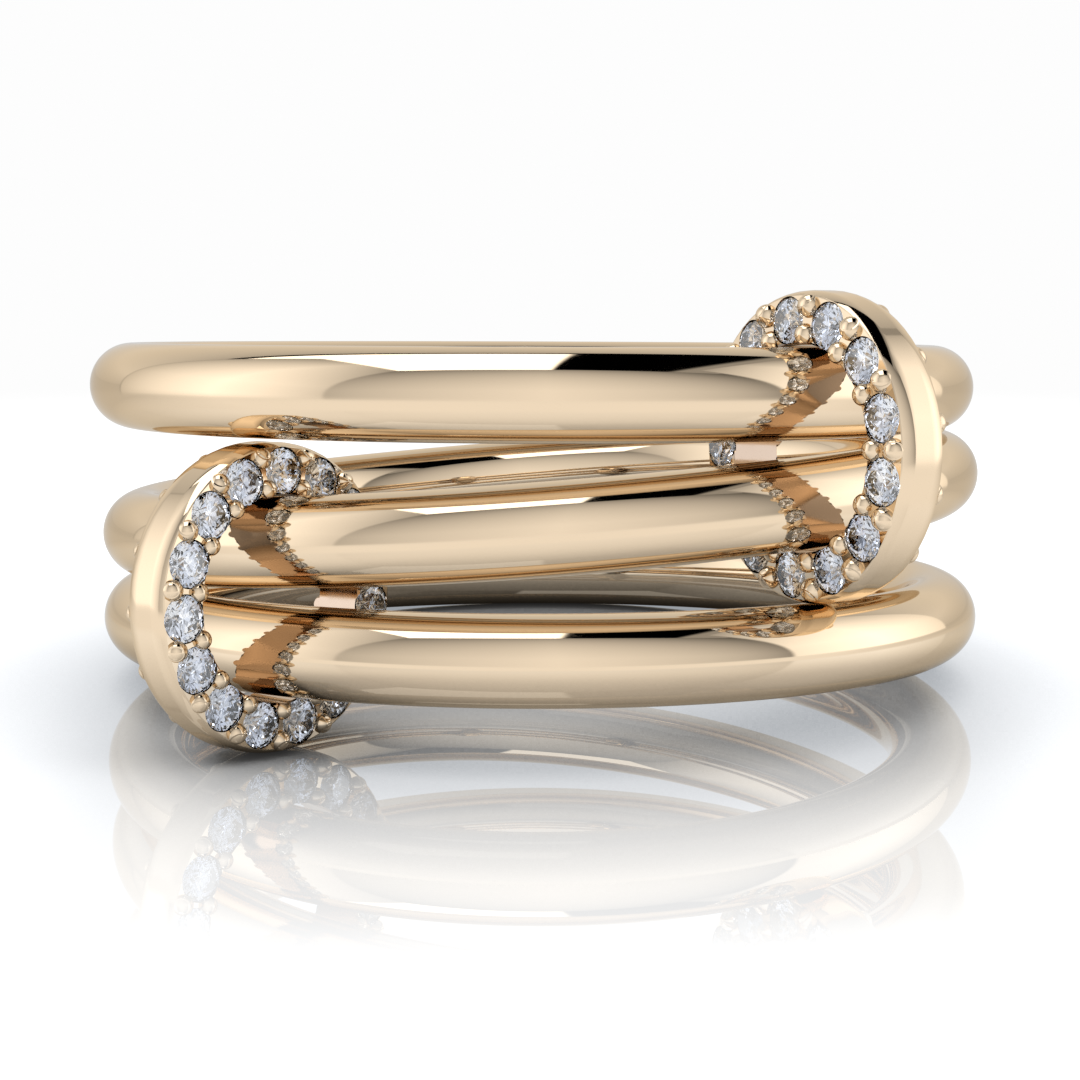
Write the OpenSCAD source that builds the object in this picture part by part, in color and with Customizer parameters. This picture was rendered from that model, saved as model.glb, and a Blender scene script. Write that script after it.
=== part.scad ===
// Interlocking ring: three plain round-wire bands, linked by two small stone-set rings.
// The stack lies on a flat surface, +Z up, with the middle of its box at the origin.
// The front is at -Y. Angles round the stack are measured from the front.

/* [Bands] */
// Inside diameter of each band
inner_d = 17.4; // [16.6:0.1:18.2]
// Diameter of the round wire
wire_d = 2.0; // [1.9:0.02:2.06]
// Gap left where one band lies on the next
band_gap = 0.045; // [0.03:0.005:0.08]
// Sideways lean of the middle band, down to the left, in degrees
middle_lean = 4.3; // [3.9:0.1:4.6]
// Sideways lean of the top band, down to the right, in degrees
top_lean = 0.2; // [0:0.1:0.5]
// How far the top band has slid to the left
top_slide_left = 0.2; // [0:0.05:0.3]
// How far the two upper bands have slid to the front
upper_slide_front = 0.15; // [0:0.05:0.2]
// How far the bottom band has slid to the front
bottom_slide_front = 0.2; // [0.1:0.05:0.25]

/* [Connector rings] */
// Width between the two faces, at the bore
connector_w = 1.27; // [1.22:0.01:1.29]
// How far each face leans back towards its outer edge, in degrees
face_lean = 5; // [2:0.5:6]
// Room left in the bore beside the two wires
bore_play = 0.5; // [0.45:0.01:0.6]
// Metal left on a face inside the row of stones
inner_rim = 0.005; // [0.005:0.005:0.015]
// Metal left on a face outside the row of stones
outer_rim = 0.03; // [0.03:0.005:0.04]
// Rise of the outside between its edge and its crown
dome_rise = 0.085; // [0.07:0.005:0.09]
// Radius of the rounded shoulders on each side of the crown
shoulder_r = 0.7; // [0.6:0.05:0.85]
// Chamfer where the outside meets a face
edge_chamfer = 0.03; // [0.02:0.005:0.04]
// Chamfer where the bore meets a face
bore_chamfer = 0.05; // [0.03:0.01:0.08]

/* [Stones] */
// Diameter of a stone
stone_d = 1.0; // [0.96:0.01:1.02]
// Stones on each face of the left ring
stones_left = 15; // [14:1:15]
// Stones on each face of the right ring
stones_right = 13; // [12:1:14]
// Space between a stone and its seat
seat_clearance = 0.02; // [0.015:0.005:0.03]
// Depth of the stone's girdle below the face
girdle_depth = 0.02; // [0.01:0.01:0.04]
// Diameter of the beads between the stones of the left ring
bead_d_left = 0.46; // [0.42:0.01:0.48]
// Diameter of the beads between the stones of the right ring
bead_d_right = 0.52; // [0.48:0.01:0.54]
// Depth of a bead's centre below the face
bead_sink = 0.01; // [0:0.01:0.06]

/* [Where the connector rings hang] */
// Angle of the left ring round the stack, from the front
left_azimuth = 37.1; // [36:0.1:38]
// How far the left ring's centre lies outside the wires' centre line
left_outset = 0.23; // [0.2:0.01:0.26]
// Turn of the left ring about the upright, from square to the wires
left_turn = 3.6; // [2.5:0.1:4]
// Upward tilt of the left ring's front face
left_tilt = 2.9; // [2.5:0.1:3.2]
// Turn of the left ring's stones about its own axis
left_spin = 13; // [0:0.1:24]
// Height of the bottom wire above the left ring's bore, where it rests
left_seat_gap = 0.11; // [0.1:0.005:0.12]
// Angle of the right ring round the stack, from the front
right_azimuth = 37.9; // [37.5:0.1:38.5]
// How far the right ring's centre lies outside the wires' centre line
right_outset = 0.12; // [0.05:0.01:0.2]
// Turn of the right ring about the upright, from square to the wires
right_turn = 5.2; // [4.5:0.1:6]
// Upward tilt of the right ring's front face
right_tilt = 2; // [1.5:0.1:2.5]
// Turn of the right ring's stones about its own axis
right_spin = -9; // [-14:0.1:14]
// Height of the right ring's centre above the middle of its two wires
right_lift = 0.005; // [0:0.005:0.02]
// Turn of the stones on the back faces against those on the front faces
back_spin = 10; // [0:1:20]

/* [Hidden] */

gold = [0.88, 0.70, 0.50];
diamond = [0.86, 0.89, 0.97];
round_fn = 96;
bead_fn = 32;
stone_turn = 37;   // each stone is set at its own turn

// Bands
wire_r = wire_d / 2;
band_r = (inner_d + wire_d) / 2;

// Connector ring, as radii from its axis
bore_r = wire_d + bore_play / 2;
row_r = bore_r + inner_rim + stone_d / 2;
face_r = bore_r + inner_rim + stone_d + outer_rim;
crown_r = face_r + dome_rise;
edge_slope = acos(1 - dome_rise / shoulder_r);
overlap_play = 0.05;   // how far an inner bead would reach over the bore before it is trimmed
edge_play = 0.02;      // how far an outer bead reaches over the face's edge
inner_bead_share = 0.92;

// Height of a face over the ring's middle plane, at a radius
function face_h(r) = connector_w / 2 - tan(face_lean) * (r - bore_r);

// Half the width of the straight crown, between the shoulders
crown_half_w = face_h(face_r) - shoulder_r * sin(edge_slope);

// A stone, as shares of its diameter
crown_share = 0.155;
table_share = 0.56;
girdle_share = 0.03;
pavilion_share = 0.43;
star_height = 0.5;     // of the crown
lower_tip = 0.12;      // radius of the lower facets' tips

// The left ring lies on the floor and lifts the bottom band's front, so the whole stack leans back
left_reach = band_r + left_outset;
left_x = -left_reach * sin(left_azimuth);
left_y = -left_reach * cos(left_azimuth);
left_z = (crown_r - shoulder_r) * cos(left_tilt) + crown_half_w * sin(left_tilt) + shoulder_r;
back_lean = atan((crown_r - bore_r + left_seat_gap) / (band_r + band_r * cos(left_azimuth)));

// Each band's centre: the bottom one touches the floor at its back, the others lie on one another
bottom_at = [0, -bottom_slide_front, band_r * sin(back_lean) + wire_r];
middle_at = [0, -upper_slide_front,
             bottom_at.z + wire_d + band_gap + band_r * tan(middle_lean)];
top_at = [-top_slide_left, -upper_slide_front,
          middle_at.z + wire_d + band_gap + band_r * (tan(middle_lean) + tan(top_lean))];

// Height of a leaning band's middle plane over a point of the floor
function plane_z(at, lean, x, y) =
    at.z - (tan(lean) * (x - at.x) + tan(back_lean) / cos(lean) * (y - at.y));

right_reach = band_r + right_outset;
right_x = right_reach * sin(right_azimuth);
right_y = -right_reach * cos(right_azimuth);
right_z = (plane_z(top_at, top_lean, right_x, right_y)
           + plane_z(middle_at, -middle_lean, right_x, right_y)) / 2 + right_lift;

// Moves the stack so that the middle of its box is over the origin
stack_shift = [0.1, 0.175, 0];

module band(at, lean) {
    color(gold)
        translate(at + stack_shift)
            rotate([-back_lean, lean, 0])
                rotate_extrude($fn = round_fn)
                    translate([band_r, 0])
                        circle(wire_r, $fn = round_fn);
}

module band_top() {
    band(top_at, top_lean);
}

module band_middle() {
    band(middle_at, -middle_lean);
}

module band_bottom() {
    band(bottom_at, 0);
}

// Puts a ring made round the Z axis in place, its front face turned towards the middle of the front
module at_left() {
    translate([left_x, left_y, left_z] + stack_shift)
        rotate([90 - left_tilt, 0, 90 - left_azimuth - left_turn])
            children();
}

module at_right() {
    translate([right_x, right_y, right_z] + stack_shift)
        rotate([90 - right_tilt, 0, right_azimuth - 90 - right_turn])
            children();
}

// Corners of the plain ring's section on one side: bore, its chamfer, face, the outer chamfer and its line on
bore_corner = [bore_r, connector_w / 2 - bore_chamfer];
face_start = [bore_r + bore_chamfer, face_h(bore_r + bore_chamfer)];
face_end = [face_r - edge_chamfer, face_h(face_r - edge_chamfer)];
shoulder_start = [face_r + edge_chamfer * sin(edge_slope), face_h(face_r) - edge_chamfer * cos(edge_slope)];
past_crown = face_end + 3 * (shoulder_start - face_end);

// The plain ring: leaning faces, outside with a straight crown and round shoulders, chamfered edges
module connector_body() {
    rotate_extrude($fn = round_fn)
        intersection() {
            polygon([bore_corner, face_start, face_end, past_crown,
                     [past_crown.x, -past_crown.y], [face_end.x, -face_end.y],
                     [face_start.x, -face_start.y], [bore_corner.x, -bore_corner.y]]);
            union() {
                translate([bore_r - bore_chamfer, -crown_half_w])
                    square([crown_r - bore_r + bore_chamfer, 2 * crown_half_w]);
                for (side = [-1, 1])
                    translate([crown_r - shoulder_r, side * crown_half_w])
                        circle(shoulder_r, $fn = round_fn);
            }
        }
}

// Pairs of beads half-way between the stones of one face
module beads(count, spin, bead_d) {
    outer_r = bead_d / 2;
    inner_r = inner_bead_share * outer_r;
    outer_at = face_r - outer_r + edge_play;
    inner_at = bore_r + inner_r - overlap_play;
    for (k = [0 : count - 1])
        rotate([0, 0, spin + (k + 0.5) * 360 / count]) {
            translate([outer_at, 0, face_h(outer_at) - bead_sink])
                sphere(outer_r, $fn = bead_fn);
            translate([inner_at, 0, face_h(inner_at) - bead_sink])
                sphere(inner_r, $fn = bead_fn);
        }
}

// The room one stone takes up with its clearance, its girdle's top at z = 0
module seat() {
    girdle_r = stone_d / 2 + seat_clearance;
    crown_top = crown_share * stone_d + seat_clearance;
    girdle_z = -girdle_share * stone_d - seat_clearance;
    culet_z = -(girdle_share + pavilion_share) * stone_d - 2 * seat_clearance;
    table_r = (table_share / 2 + 0.08) * stone_d;
    rotate_extrude($fn = round_fn)
        polygon([[0, culet_z],
                 [girdle_r, girdle_z],
                 [girdle_r, seat_clearance],
                 [table_r, crown_top],
                 [0, crown_top]]);
}

// Runs its child at each stone's place on one face
module each_stone(count, spin) {
    for (k = [0 : count - 1])
        rotate([0, 0, spin + k * 360 / count])
            translate([row_r, 0, face_h(row_r)])
                rotate([0, face_lean, 0])
                    translate([0, 0, -girdle_depth])
                        rotate([0, 0, k * stone_turn])
                            children();
}

// One finished ring: the body with its beads, less the seats and whatever hangs into the bore
module connector(count, spin, bead_d) {
    color(gold)
        difference() {
            union() {
                connector_body();
                beads(count, spin, bead_d);
                mirror([0, 0, 1])
                    beads(count, spin + back_spin, bead_d);
            }
            cylinder(r = bore_r, h = 2 * connector_w, center = true, $fn = round_fn);
            each_stone(count, spin)
                seat();
            mirror([0, 0, 1])
                each_stone(count, spin + back_spin)
                    seat();
        }
}

module connector_left() {
    at_left()
        connector(stones_left, left_spin, bead_d_left);
}

module connector_right() {
    at_right()
        connector(stones_right, right_spin, bead_d_right);
}

// Points of a round brilliant, its girdle's top at z = 0, its table up
function ring_points(count, radius, z, first) =
    [for (k = [0 : count - 1]) [radius * cos(first + k * 360 / count),
                                radius * sin(first + k * 360 / count), z]];

// Eight table corners, eight star tips, two rings of sixteen girdle points, eight lower tips, the culet
crown_h = crown_share * stone_d;
girdle_h = girdle_share * stone_d;
pavilion_h = pavilion_share * stone_d;
table_r = table_share * stone_d / 2;
girdle_r = stone_d / 2;
star_r = (girdle_r - (girdle_r - table_r) * star_height) / cos(22.5);
lower_r = lower_tip * stone_d;
lower_rise = pavilion_h * lower_r * cos(22.5) / girdle_r;
culet_at = -girdle_h - pavilion_h;
brilliant_points = concat(
    ring_points(8, table_r, crown_h, 0),
    ring_points(8, star_r, crown_h * star_height, 22.5),
    ring_points(16, girdle_r, 0, 0),
    ring_points(16, girdle_r, -girdle_h, 0),
    ring_points(8, lower_r, culet_at + lower_rise, 22.5),
    [[0, 0, culet_at]]);
TABLE = 0;
STAR = 8;
TOP = 16;
LOW = 32;
TIP = 48;
CULET = 56;
function eighth(k) = (k + 8) % 8;
function sixteenth(k) = (k + 16) % 16;
brilliant_faces = concat(
    [[for (k = [7 : -1 : 0]) TABLE + k]],
    [for (k = [0 : 7]) [TABLE + k, TABLE + eighth(k + 1), STAR + k]],
    [for (k = [0 : 7]) [TABLE + k, STAR + k, TOP + 2 * k]],
    [for (k = [0 : 7]) [TABLE + k, TOP + 2 * k, STAR + eighth(k - 1)]],
    [for (k = [0 : 7]) [STAR + k, TOP + 2 * k + 1, TOP + 2 * k]],
    [for (k = [0 : 7]) [STAR + k, TOP + sixteenth(2 * k + 2), TOP + 2 * k + 1]],
    [for (k = [0 : 15]) [TOP + k, TOP + sixteenth(k + 1), LOW + sixteenth(k + 1), LOW + k]],
    [for (k = [0 : 7]) [TIP + k, LOW + 2 * k, LOW + 2 * k + 1]],
    [for (k = [0 : 7]) [TIP + k, LOW + 2 * k + 1, LOW + sixteenth(2 * k + 2)]],
    [for (k = [0 : 7]) [CULET, LOW + 2 * k, TIP + k]],
    [for (k = [0 : 7]) [CULET, TIP + k, LOW + sixteenth(2 * k + 2)]]);

module brilliant() {
    polyhedron(brilliant_points, brilliant_faces);
}

module stone_row(count, spin) {
    color(diamond)
        each_stone(count, spin)
            brilliant();
}

module stones_left_front() {
    at_left()
        stone_row(stones_left, left_spin);
}

module stones_left_back() {
    at_left()
        mirror([0, 0, 1])
            stone_row(stones_left, left_spin + back_spin);
}

module stones_right_front() {
    at_right()
        stone_row(stones_right, right_spin);
}

module stones_right_back() {
    at_right()
        mirror([0, 0, 1])
            stone_row(stones_right, right_spin + back_spin);
}

band_top();
band_middle();
band_bottom();
connector_left();
connector_right();
stones_left_front();
stones_left_back();
stones_right_front();
stones_right_back();
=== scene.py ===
import math
from collections import namedtuple

import bpy
import bmesh
from mathutils import Matrix, Vector


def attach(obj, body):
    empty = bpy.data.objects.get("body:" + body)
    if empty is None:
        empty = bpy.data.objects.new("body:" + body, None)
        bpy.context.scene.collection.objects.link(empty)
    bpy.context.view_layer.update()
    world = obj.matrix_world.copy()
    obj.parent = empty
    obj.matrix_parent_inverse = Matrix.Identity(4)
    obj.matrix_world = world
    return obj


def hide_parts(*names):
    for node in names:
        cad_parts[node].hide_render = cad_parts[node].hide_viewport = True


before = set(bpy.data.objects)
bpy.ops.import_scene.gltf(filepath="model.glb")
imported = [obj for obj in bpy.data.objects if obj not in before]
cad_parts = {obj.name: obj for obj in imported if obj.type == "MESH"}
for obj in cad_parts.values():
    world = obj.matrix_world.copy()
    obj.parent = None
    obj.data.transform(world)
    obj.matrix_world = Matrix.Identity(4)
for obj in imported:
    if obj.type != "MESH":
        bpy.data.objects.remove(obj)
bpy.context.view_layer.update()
MM = 0.001

# The ring's own sizes, in millimetres, as in the CAD source
WIRE_R = 1.0
BAND_R = 9.7
BAND_GAP = 0.045
MIDDLE_LEAN = math.radians(4.3)
TOP_LEAN = math.radians(0.2)
TOP_SLIDE_LEFT = 0.2
UPPER_SLIDE_FRONT = 0.15
BOTTOM_SLIDE_FRONT = 0.2
BORE_R = 2.25
CROWN_R = 3.37
CROWN_HALF_W = 0.2105
SHOULDER_R = 0.7
LEFT_AZIMUTH = math.radians(37.1)
LEFT_SEAT_GAP = 0.11
STACK_SHIFT = Vector((0.1, 0.175, 0.0))

# Each small ring's centre, and the turn in degrees that takes its own Z axis into place
RING_PLACES = {"left": ((-5.890, -7.745, 3.377), (87.1, 0.0, 49.3)),
               "right": ((6.132, -7.574, 6.619), (88.0, 0.0, -57.3))}

# Pieces of wire round a band, and round the wire
BAND_AROUND = 320
BAND_ACROSS = 80


# Node helpers

def new_tree(owner):
    owner.use_nodes = True
    tree = owner.node_tree
    tree.nodes.clear()
    return tree


def value(tree, op, *inputs, clamp=False):
    """A Math node; each input is a number or another node's output."""
    n = tree.nodes.new("ShaderNodeMath")
    n.operation = op
    n.use_clamp = clamp
    for socket, x in zip(n.inputs, inputs):
        if isinstance(x, (int, float)):
            socket.default_value = x
        else:
            tree.links.new(x, socket)
    return n.outputs[0]


def product(tree, a, b):
    return value(tree, "MULTIPLY", a, b)


def difference(tree, a, b):
    return value(tree, "SUBTRACT", a, b)


def ramp(tree, x, x0, x1, y0, y1, smooth=True):
    """x from x0 to x1 becomes y0 to y1, and stays there outside."""
    n = tree.nodes.new("ShaderNodeMapRange")
    n.interpolation_type = "SMOOTHSTEP" if smooth else "LINEAR"
    n.clamp = True
    for key, v in (("From Min", x0), ("From Max", x1), ("To Min", y0), ("To Max", y1)):
        n.inputs[key].default_value = v
    tree.links.new(x, n.inputs["Value"])
    return n.outputs["Result"]


def mixed(tree, share, a, b):
    """a where share is 0, b where it is 1."""
    return value(tree, "ADD", product(tree, a, difference(tree, 1.0, share)), product(tree, b, share))


def mixed_colour(tree, share, a, b):
    """Colour a where share is 0, colour b where it is 1."""
    n = tree.nodes.new("ShaderNodeMix")
    n.data_type = "RGBA"
    tree.links.new(share, n.inputs[0])
    n.inputs[6].default_value = a
    n.inputs[7].default_value = b
    return n.outputs[2]


def mixed_shader(tree, share, a, b):
    """Shader a where share is 0, shader b where it is 1."""
    n = tree.nodes.new("ShaderNodeMixShader")
    for socket, source in zip(n.inputs, (share, a, b)):
        tree.links.new(source, socket)
    return n.outputs[0]


def coordinate(tree, kind):
    return tree.nodes.new("ShaderNodeTexCoord").outputs[kind]


def parts_of(tree, vector):
    n = tree.nodes.new("ShaderNodeSeparateXYZ")
    tree.links.new(vector, n.inputs[0])
    return n.outputs


def finish_tree(tree, kind, shader):
    tree.links.new(shader, tree.nodes.new(kind).inputs["Surface"])


# Studio: a tall white room, its ceiling half light panel and half black flag. Lengths are shares of
# its height, and a ramp is written as from, to, and the value at each of the two.

ROOM_LEFT = 0.50
ROOM_RIGHT = 0.62
ROOM_FRONT = 0.395
ROOM_BACK = 0.70
CORNER = 0.78          # slope from the middle to three of the room's corners
CORNER_RIGHT = 0.445   # and to the front right one
EDGE_RAMP = (-0.02, 0.02, 0.0, 1.0)
LEAST = 1e-4           # keeps divisions finite

# A side or front wall: the middle of its bright part, how fast it fades sideways, and its ramp upwards
Wall = namedtuple("Wall", "middle fade up")
LEFT_WALL = Wall(-0.03, 1.24, (0.2, 1.0, 1.70, 0.78))
RIGHT_WALL = Wall(0.08, 0.87, (0.2, 1.0, 1.95, 0.66))
FRONT_WALL = Wall(0.03, 0.79, (0.12, 1.0, 1.14, 0.39))
BACK_WALL_LOW = (0.0, 0.2, 0.74, 0.95)
BACK_WALL_HIGH = (0.25, 1.0, 1.0, 0.6)
PANEL_ACROSS = (0.061, 0.085, 2.5, 0.0)
PANEL_ALONG = (0.58, 0.62, 1.0, 0.0)
BEYOND_FLAG = (0.508, 0.568, 0.0, 0.38)

# Below the horizon
GROUND_BACK = 0.70
FAR_FLOOR = (-1.0, 1.0, 1.13, 0.70)
FLOOR_STARTS = (0.0, 0.30, 0.0, 1.0)

BACKDROP_WHITE = 0.983
SPARKLE_POWER = 2.4    # the stones see the room with more contrast, and a little bluer
SPARKLE_SHARE = 0.85
WHITE = (1, 1, 1, 1)
STONE_TINT = (0.96, 1.01, 1.12, 1)


def cone(tree, x, middle, fade):
    """1 at the middle, less by fade for each unit away from it."""
    away = value(tree, "ABSOLUTE", difference(tree, x, middle))
    return value(tree, "SUBTRACT", 1.0, product(tree, away, fade), clamp=True)


def wall_light(tree, wall, along, height):
    sideways = cone(tree, along, wall.middle, wall.fade)
    return product(tree, sideways, ramp(tree, height, *wall.up, smooth=False))


def make_world():
    world = bpy.data.worlds.new("studio")
    bpy.context.scene.world = world
    tree = new_tree(world)

    # Where the direction meets the room
    x, y, z = parts_of(tree, coordinate(tree, "Generated"))
    across, along, up = (value(tree, "MAXIMUM", value(tree, "ABSOLUTE", c), LEAST) for c in (x, y, z))
    on_right, at_back, above = (value(tree, "GREATER_THAN", c, 0.0) for c in (x, y, z))
    to_side = value(tree, "DIVIDE", mixed(tree, on_right, ROOM_LEFT, ROOM_RIGHT), across)
    to_end = value(tree, "DIVIDE", mixed(tree, at_back, ROOM_FRONT, ROOM_BACK), along)
    to_top = value(tree, "DIVIDE", 1.0, up)
    slope = mixed(tree, at_back, mixed(tree, on_right, CORNER, CORNER_RIGHT), CORNER)
    is_end = ramp(tree, difference(tree, along, product(tree, across, slope)), *EDGE_RAMP)
    to_wall = mixed(tree, is_end, to_side, to_end)
    is_top = ramp(tree, difference(tree, to_wall, to_top), *EDGE_RAMP)
    reach = value(tree, "MINIMUM", to_wall, to_top)
    hx, hy, hz = (product(tree, c, reach) for c in (x, y, up))

    # Light there
    side = mixed(tree, on_right, wall_light(tree, LEFT_WALL, hy, hz), wall_light(tree, RIGHT_WALL, hy, hz))
    front = wall_light(tree, FRONT_WALL, hx, hz)
    back = product(tree, ramp(tree, hz, *BACK_WALL_LOW, smooth=False),
                   ramp(tree, hz, *BACK_WALL_HIGH, smooth=False))
    wall = mixed(tree, is_end, side, mixed(tree, at_back, front, back))
    panel = product(tree, ramp(tree, hx, *PANEL_ACROSS), ramp(tree, hy, *PANEL_ALONG))
    ceiling = value(tree, "ADD", panel, ramp(tree, hx, *BEYOND_FLAG))
    room = mixed(tree, is_top, wall, ceiling)
    low_wall = mixed(tree, is_end, side, mixed(tree, at_back, front, GROUND_BACK))
    far_floor = ramp(tree, y, *FAR_FLOOR, smooth=False)
    ground = mixed(tree, ramp(tree, up, *FLOOR_STARTS), low_wall, far_floor)
    studio = mixed(tree, above, ground, room)

    # The backdrop itself is plain white
    path = tree.nodes.new("ShaderNodeLightPath")
    in_stone = path.outputs["Is Transmission Ray"]
    sparkle = product(tree, value(tree, "POWER", studio, SPARKLE_POWER), SPARKLE_SHARE)
    light = mixed(tree, in_stone, studio, sparkle)
    strength = mixed(tree, path.outputs["Is Camera Ray"], light, BACKDROP_WHITE)
    background = tree.nodes.new("ShaderNodeBackground")
    tree.links.new(strength, background.inputs["Strength"])
    tree.links.new(mixed_colour(tree, in_stone, WHITE, STONE_TINT), background.inputs["Color"])
    finish_tree(tree, "ShaderNodeOutputWorld", background.outputs[0])


# Floor: a pale disc that fades into the backdrop. Lengths are in metres.

FLOOR_R = 0.3
FLOOR_SIDES = 96
FLOOR_REACH = 0.03
FLOOR_SAMPLES = 16

# How bright it is, by the open share of the half sphere above it within that reach
FLOOR_SHADE = ((0.0, 0.02), (0.26, 0.07), (0.33, 0.18), (0.42, 0.32), (0.50, 0.45), (0.58, 0.55),
               (0.65, 0.62), (0.70, 0.70), (0.76, 0.79), (0.82, 0.86), (0.87, 0.93), (0.93, 1.0))
SEEN_ASIDE = (0.008, 0.012, 1.12, 1.40)
LIT_ALONG = (-0.012, 0.014, 1.15, 0.75)
LIT_OPEN = (0.35, 0.8, 0.72, 1.0)
FLOOR_GLOSS = (0.86, 0.92, 1, 1)
FLOOR_IOR = 1.8
GLOSS_FADE = (0.019, 0.0235, 1.0, 0.0)
FLOOR_FADE = (0.03, 0.08, 0.0, 1.0)


def floor_material():
    mat = bpy.data.materials.new("pale_floor")
    tree = new_tree(mat)
    place = coordinate(tree, "Object")
    own = parts_of(tree, place)
    length = tree.nodes.new("ShaderNodeVectorMath")
    length.operation = "LENGTH"
    tree.links.new(place, length.inputs[0])
    r = length.outputs["Value"]

    opening = tree.nodes.new("ShaderNodeAmbientOcclusion")
    opening.samples = FLOOR_SAMPLES
    opening.inputs["Distance"].default_value = FLOOR_REACH
    shade = tree.nodes.new("ShaderNodeValToRGB")
    stops = shade.color_ramp.elements
    while len(stops) < len(FLOOR_SHADE):
        stops.new(0.5)
    for stop, (at, bright) in zip(stops, FLOOR_SHADE):
        stop.position = at
        stop.color = (bright, bright, bright, 1)
    tree.links.new(opening.outputs["AO"], shade.inputs[0])

    # Its light on the ring, and its light straight to the camera
    lit = product(tree, ramp(tree, own["Y"], *LIT_ALONG, smooth=False),
                  ramp(tree, opening.outputs["AO"], *LIT_OPEN, smooth=False))
    seen = ramp(tree, value(tree, "ABSOLUTE", own["X"]), *SEEN_ASIDE)
    path = tree.nodes.new("ShaderNodeLightPath")
    matt = tree.nodes.new("ShaderNodeEmission")
    tree.links.new(shade.outputs["Color"], matt.inputs["Color"])
    tree.links.new(mixed(tree, path.outputs["Is Camera Ray"], lit, seen), matt.inputs["Strength"])

    gloss = tree.nodes.new("ShaderNodeBsdfGlossy")
    gloss.inputs["Color"].default_value = FLOOR_GLOSS
    gloss.inputs["Roughness"].default_value = 0.0
    fresnel = tree.nodes.new("ShaderNodeFresnel")
    fresnel.inputs["IOR"].default_value = FLOOR_IOR
    mirror = product(tree, fresnel.outputs[0], ramp(tree, r, *GLOSS_FADE))
    surface = mixed_shader(tree, mirror, matt.outputs[0], gloss.outputs[0])
    clear = tree.nodes.new("ShaderNodeBsdfTransparent")
    faded = mixed_shader(tree, ramp(tree, r, *FLOOR_FADE), surface, clear.outputs[0])
    finish_tree(tree, "ShaderNodeOutputMaterial", faded)
    return mat


def make_floor():
    mesh = bpy.data.meshes.new("floor")
    bm = bmesh.new()
    bmesh.ops.create_circle(bm, cap_ends=True, segments=FLOOR_SIDES, radius=FLOOR_R)
    bm.to_mesh(mesh)
    bm.free()
    mesh.materials.append(floor_material())
    floor = bpy.data.objects.new("floor", mesh)
    bpy.context.scene.collection.objects.link(floor)


# Materials

GOLD = (0.75, 0.603, 0.434, 1.0)
EDGE_TINT = (0.88, 0.80, 0.68, 1.0)   # keeps the metal's own colour where it is seen at a slant
# Painted shade: the bore's gold is darker, standing in for the shade that falls inside the bore
BORE_PAINTED_SHADE_GOLD = (0.53, 0.42, 0.34, 1.0)
BORE_ROUGHER = 0.01
STONE_IOR = 2.42
STONE_CASTS = ((0.72, 0.76, 0.84, 1), (0.92, 0.94, 0.97, 1))

# Fine noise: its scale and detail, and the ramp of what it changes
Grain = namedtuple("Grain", "scale detail ramp")
BAND_GRAIN = Grain(900.0, 3.0, (0.35, 0.65, 0.03, 0.06))
RING_GRAIN = Grain(1500.0, 3.0, (0.35, 0.65, 0.03, 0.07))
STONE_GRAIN = Grain(700.0, 2.0, (0.4, 0.6, 0.0, 1.0))

# Where a small ring's bore and turned outside are told apart from the rest, in millimetres; the first
# spreads the bore's painted shade and its roughness
BORE_SHADE_AND_ROUGH_REACH = (0.01, 0.06)
BORE_WALL = (0.004, 0.01)
ON_OUTSIDE = (0.010, 0.016)


def grain(tree, place, kind):
    noise = tree.nodes.new("ShaderNodeTexNoise")
    noise.inputs["Scale"].default_value = kind.scale
    noise.inputs["Detail"].default_value = kind.detail
    tree.links.new(place, noise.inputs["Vector"])
    return ramp(tree, noise.outputs["Fac"], *kind.ramp)


def gold_shader(tree):
    shader = tree.nodes.new("ShaderNodeBsdfPrincipled")
    shader.inputs["Base Color"].default_value = GOLD
    shader.inputs["Metallic"].default_value = 1.0
    shader.inputs["Specular Tint"].default_value = EDGE_TINT
    finish_tree(tree, "ShaderNodeOutputMaterial", shader.outputs[0])
    return shader


def gold_material(name):
    """Polished gold whose roughness wanders a little."""
    mat = bpy.data.materials.new(name)
    tree = new_tree(mat)
    roughness = grain(tree, coordinate(tree, "Object"), BAND_GRAIN)
    tree.links.new(roughness, gold_shader(tree).inputs["Roughness"])
    return mat


def near(tree, length, limits, start=0.0):
    """1 up to the first limit past the start, 0 from the second on; the limits are in millimetres."""
    return ramp(tree, length, (start + limits[0]) * MM, (start + limits[1]) * MM, 1.0, 0.0)


def mapping(tree, kind, vector, turn):
    n = tree.nodes.new("ShaderNodeMapping")
    n.vector_type = kind
    n.inputs["Rotation"].default_value = [math.radians(t) for t in turn]
    tree.links.new(vector, n.inputs["Vector"])
    return n


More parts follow.
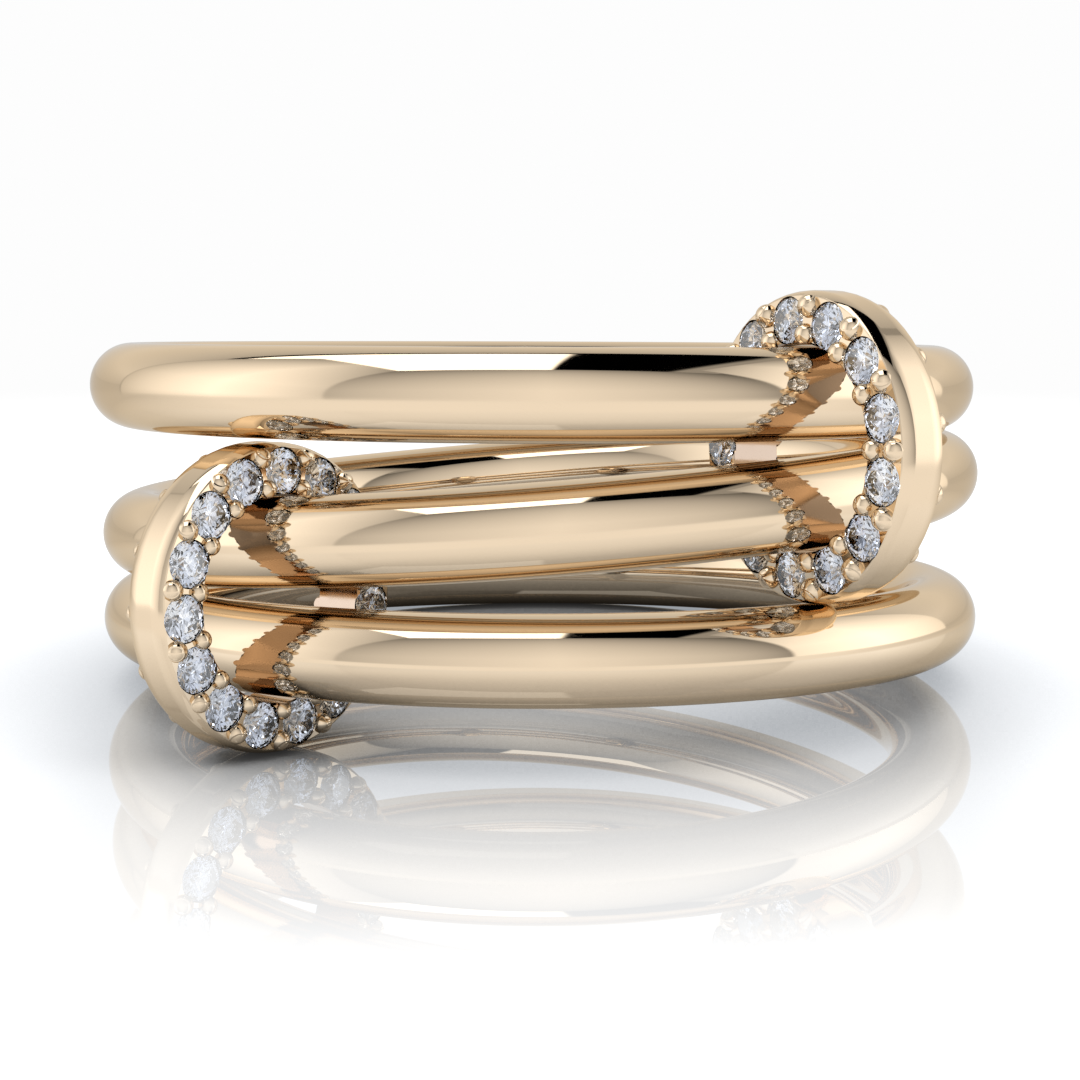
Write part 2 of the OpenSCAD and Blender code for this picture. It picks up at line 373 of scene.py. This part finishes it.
def exact_normal(tree, own, r, turn):
    """The exact surface's normals on the turned outside and bore, and elsewhere the mesh's own."""
    x, y, z = own
    past = value(tree, "MAXIMUM", difference(tree, value(tree, "ABSOLUTE", z), CROWN_HALF_W * MM), 0.0)
    lean = value(tree, "DIVIDE", past, SHOULDER_R * MM)
    drop = value(tree, "SQRT", difference(tree, 1.0, product(tree, lean, lean)))
    surface_r = value(tree, "ADD", (CROWN_R - SHOULDER_R) * MM, product(tree, drop, SHOULDER_R * MM))
    outside = near(tree, value(tree, "ABSOLUTE", difference(tree, r, surface_r)), ON_OUTSIDE)
    in_bore = near(tree, r, BORE_WALL, BORE_R)

    # Outwards on the outside; in the bore the sum turns it inwards
    to_axis = product(tree, in_bore, value(tree, "DIVIDE", 2.0, r))
    spread = difference(tree, value(tree, "DIVIDE", drop, r), to_axis)
    upward = product(tree, product(tree, lean, value(tree, "SIGN", z)), difference(tree, 1.0, in_bore))
    exact = tree.nodes.new("ShaderNodeCombineXYZ")
    for socket, part in zip(exact.inputs, (product(tree, x, spread), product(tree, y, spread), upward)):
        tree.links.new(part, socket)

    normal = tree.nodes.new("ShaderNodeMix")
    normal.data_type = "VECTOR"
    tree.links.new(value(tree, "MAXIMUM", outside, in_bore), normal.inputs[0])
    tree.links.new(tree.nodes.new("ShaderNodeNewGeometry").outputs["Normal"], normal.inputs[4])
    tree.links.new(mapping(tree, "VECTOR", exact.outputs[0], turn).outputs[0], normal.inputs[5])
    return normal.outputs[1]


def ring_gold_material(name, centre, turn):
    """Gold of a small ring: polished outside; in the bore rougher, and darker there by painted shade."""
    mat = bpy.data.materials.new(name)
    tree = new_tree(mat)
    placed = mapping(tree, "TEXTURE", coordinate(tree, "Object"), turn)
    placed.inputs["Location"].default_value = Vector(centre) * MM
    x, y, z = parts_of(tree, placed.outputs[0])
    r = value(tree, "SQRT", value(tree, "ADD", product(tree, x, x), product(tree, y, y)))
    # Bore mask: it carries both the painted shade and the added roughness
    bore_shade_and_rough = near(tree, r, BORE_SHADE_AND_ROUGH_REACH, BORE_R)
    polish = grain(tree, placed.outputs[0], RING_GRAIN)
    roughness = value(tree, "ADD", polish, product(tree, bore_shade_and_rough, BORE_ROUGHER))
    shader = gold_shader(tree)
    tree.links.new(exact_normal(tree, (x, y, z), r, turn), shader.inputs["Normal"])
    # Painted shade in the bore: the gold turns darker there
    tree.links.new(mixed_colour(tree, bore_shade_and_rough, GOLD, BORE_PAINTED_SHADE_GOLD), shader.inputs["Base Color"])
    tree.links.new(roughness, shader.inputs["Roughness"])
    return mat


def stone_material(name):
    """Clear stone with a faint blue cast that changes a little from place to place."""
    mat = bpy.data.materials.new(name)
    tree = new_tree(mat)
    cast = mixed_colour(tree, grain(tree, coordinate(tree, "Object"), STONE_GRAIN), *STONE_CASTS)
    shader = tree.nodes.new("ShaderNodeBsdfPrincipled")
    tree.links.new(cast, shader.inputs["Base Color"])
    shader.inputs["Transmission Weight"].default_value = 1.0
    shader.inputs["IOR"].default_value = STONE_IOR
    shader.inputs["Roughness"].default_value = 0.0
    finish_tree(tree, "ShaderNodeOutputMaterial", shader.outputs[0])
    return mat


# Bands

def band_places():
    """Each band's centre and lean, worked out as the CAD source does."""
    back_lean = math.atan((CROWN_R - BORE_R + LEFT_SEAT_GAP) / (BAND_R * (1 + math.cos(LEFT_AZIMUTH))))
    step = 2 * WIRE_R + BAND_GAP
    bottom = Vector((0, -BOTTOM_SLIDE_FRONT, BAND_R * math.sin(back_lean) + WIRE_R))
    middle_rise = BAND_R * math.tan(MIDDLE_LEAN)
    middle = Vector((0, -UPPER_SLIDE_FRONT, bottom.z + step + middle_rise))
    top = Vector((-TOP_SLIDE_LEFT, -UPPER_SLIDE_FRONT,
                  middle.z + step + middle_rise + BAND_R * math.tan(TOP_LEAN)))
    leans = {"band_bottom": (bottom, 0.0),
             "band_middle": (middle, -MIDDLE_LEAN),
             "band_top": (top, TOP_LEAN)}
    tip_back = Matrix.Rotation(-back_lean, 4, "X")
    return {node: Matrix.Translation((at + STACK_SHIFT) * MM) @ Matrix.Rotation(lean, 4, "Y") @ tip_back
            for node, (at, lean) in leans.items()}


def make_band(node, place, material):
    """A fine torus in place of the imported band."""
    bm = bmesh.new()
    rings = []
    for i in range(BAND_AROUND):
        a = 2 * math.pi * i / BAND_AROUND
        ring = []
        for j in range(BAND_ACROSS):
            b = 2 * math.pi * j / BAND_ACROSS
            r = BAND_R + WIRE_R * math.cos(b)
            point = Vector((r * math.cos(a), r * math.sin(a), WIRE_R * math.sin(b))) * MM
            ring.append(bm.verts.new(place @ point))
        rings.append(ring)
    for i in range(BAND_AROUND):
        for j in range(BAND_ACROSS):
            k, m = (i + 1) % BAND_AROUND, (j + 1) % BAND_ACROSS
            face = bm.faces.new((rings[i][j], rings[k][j], rings[k][m], rings[i][m]))
            face.smooth = True
    mesh = bpy.data.meshes.new(node + "_polished")
    bm.to_mesh(mesh)
    bm.free()
    mesh.materials.append(material)
    band = bpy.data.objects.new(node + "_polished", mesh)
    bpy.context.scene.collection.objects.link(band)
    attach(band, "root")
    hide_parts(node)


# Camera, fitted to the photo. Its place is in metres, its angle in degrees.

SENSOR_MM = 36.0
PHOTO_PX = 1080
FOCAL_PX = 2404.04
CAMERA_AT = (0.0001, -0.059031, 0.012821)
CAMERA_DOWN = 9.08
CAMERA_NEAR = 0.001
CAMERA_FAR = 10.0


def make_camera():
    data = bpy.data.cameras.new("camera")
    data.sensor_width = SENSOR_MM
    data.lens = FOCAL_PX / PHOTO_PX * SENSOR_MM
    data.clip_start = CAMERA_NEAR
    data.clip_end = CAMERA_FAR
    camera = bpy.data.objects.new("camera", data)
    camera.location = CAMERA_AT
    camera.rotation_euler = (math.radians(90 - CAMERA_DOWN), 0, 0)
    bpy.context.scene.collection.objects.link(camera)
    bpy.context.scene.camera = camera


bpy.context.scene.view_settings.view_transform = "Standard"
make_world()
make_floor()
gold = gold_material("polished_gold")
stone = stone_material("brilliant_stone")
for node, place in band_places().items():
    make_band(node, place, gold)
ring_gold = {side: ring_gold_material("ring_gold_" + side, *place) for side, place in RING_PLACES.items()}
for name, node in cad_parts.items():
    if not name.startswith("band"):
        kind, side = name.split("_")[:2]
        node.data.materials.clear()
        node.data.materials.append(stone if kind == "stones" else ring_gold[side])
make_camera()
